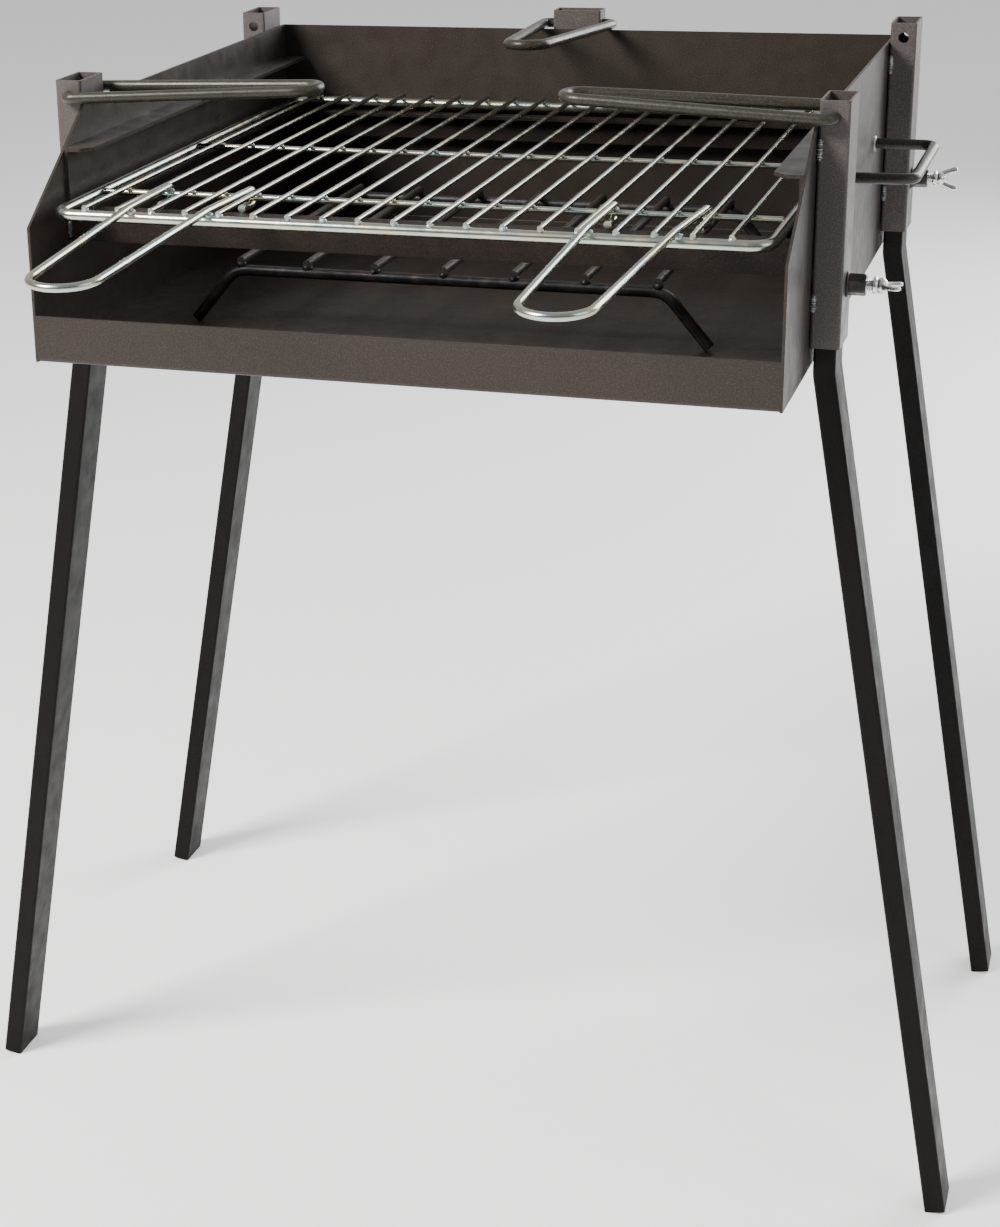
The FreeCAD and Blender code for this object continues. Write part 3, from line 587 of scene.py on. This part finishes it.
def grid_welds():
    """Resistance welds of the cooking grid, at each crossing of its rods."""
    mesh_data = bmesh.new()
    seed = 500
    rim_low, rim_high = span("grid_frame")
    rod = rim_high.z - rim_low.z
    rung_low, rung_high = span("grid_rungs")
    rung = rung_high.z - rung_low.z
    top = rim_high.z
    crossings = [
        (rim_low.y + rod / 2, 2.3 * MM),
        (rung_low.y + rung / 2, 1.9 * MM),
        (rung_high.y - rung / 2, 1.9 * MM),
        (rim_high.y - rod / 2, 2.3 * MM),
    ]
    for x in wire_centres():
        for y, size in crossings:
            weld_spot(mesh_data, Vector((x, y, top - 0.1 * MM)), size, seed)
            seed += 1
    handle_crossings = (
        (GRIP_LEGS_AT_RIM, crossings[0][0], 2.8 * MM),
        (GRIP_LEGS_AT_RUNG, crossings[1][0], 2.2 * MM),
    )
    for side, sign in SIDES.items():
        for legs, y, size in handle_crossings:
            for leg in legs[side]:
                for flank in (-0.8 * GRIP_RADIUS, 0.8 * GRIP_RADIUS):
                    spot = Vector((sign * GRIP_OFFSET + leg + flank, y, top))
                    weld_spot(mesh_data, spot, size, seed)
                    seed += 1
    for x in (rim_low.x + rod, rim_high.x - rod):
        for y, size in crossings[1:3]:
            weld_spot(mesh_data, Vector((x, y, top - rung / 2)), size, seed)
            seed += 1
    new_piece("grid_welds", mesh_data, "grid_weld", "cooking_grid")


def ember_welds():
    """Welds of the ember grate, where each bar crosses its two bridges."""
    mesh_data = bmesh.new()
    low, high = span("ember_grate_bars")
    radius = (high.z - low.z) / 2
    pitch = (high.x - low.x - 2 * radius) / (EMBER_BAR_COUNT - 1)
    seed = 900
    for i in range(EMBER_BAR_COUNT):
        for end in ENDS:
            centre = middle(f"ember_grate_{end}")
            weld_spot(mesh_data, Vector((low.x + radius + pitch * i, centre.y, low.z)), 3.4 * MM, seed)
            seed += 1
    new_piece("ember_welds", mesh_data, "ember", "ember_grate")


# ---- studio ----

def studio():
    """A pale floor, three large soft lights, and a sky that is brighter above and behind."""
    mesh_data = bmesh.new()
    bmesh.ops.create_grid(mesh_data, x_segments=1, y_segments=1, size=40)
    mesh = bpy.data.meshes.new("floor")
    mesh_data.to_mesh(mesh)
    mesh_data.free()
    mesh.materials.append(MATERIALS["floor"])
    floor = bpy.data.objects.new("floor", mesh)
    bpy.context.scene.collection.objects.link(floor)

    world = bpy.data.worlds.new("sky")
    world.use_nodes = True
    tree = world.node_tree
    direction = add_node(tree, "ShaderNodeTexCoord").outputs["Generated"]
    parts = add_node(tree, "ShaderNodeSeparateXYZ", {"Vector": direction})
    height = remap(tree, parts.outputs["Z"], -0.1, 0.9, 0.0, 1.0)
    depth = remap(tree, parts.outputs["Y"], -0.3, 0.9, 0.0, 1.0)
    above = colour_mix(tree, height, (0.10, 0.10, 0.10), (0.60, 0.61, 0.62))
    around = colour_mix(tree, depth, above, (1.0, 1.0, 1.0))
    backdrop = tree.nodes["Background"]
    tree.links.new(around, backdrop.inputs["Color"])
    backdrop.inputs["Strength"].default_value = 0.75
    bpy.context.scene.world = world

    lamps = [
        ("key", (-1.7, -1.7, 2.5), 1.1, 220, (1.0, 0.985, 0.96)),
        ("fill", (2.2, -0.6, 1.7), 1.6, 14, (0.96, 0.98, 1.0)),
        ("back", (1.6, 2.6, 1.6), 2.0, 110, (1.0, 1.0, 1.0)),
    ]
    for name, place, width, power, colour in lamps:
        light = bpy.data.lights.new(name, "AREA")
        light.size = width
        light.energy = power
        light.color = colour
        lamp = bpy.data.objects.new(name, light)
        lamp.location = place
        aim = Vector((0, 0, 0.7)) - Vector(place)
        lamp.rotation_euler = aim.to_track_quat("-Z", "Y").to_euler()
        bpy.context.scene.collection.objects.link(lamp)


def camera():
    """The photograph's viewpoint: from the front, to the right and a little above."""
    lens = bpy.data.cameras.new("camera")
    lens.sensor_width = 36
    lens.lens = 70.31
    lens.shift_x = 0.163
    lens.shift_y = -0.0436
    lens.clip_start = 0.05
    lens.clip_end = 100
    viewer = bpy.data.objects.new("camera", lens)
    viewer.location = (0.4795, -1.6452, 1.0777)
    viewer.rotation_euler = [math.radians(a) for a in (70.021, 1.718, 19.883)]
    bpy.context.scene.collection.objects.link(viewer)
    bpy.context.scene.camera = viewer


dress_cad_nodes()
for corner_end in ENDS:
    for corner_side, corner_sign in SIDES.items():
        threaded_shank(corner_end, corner_side, corner_sign)
        forged_wing(corner_end, corner_side, corner_sign)
flanged_nuts()
firebox_welds()
grid_welds()
ember_welds()
studio()
camera()
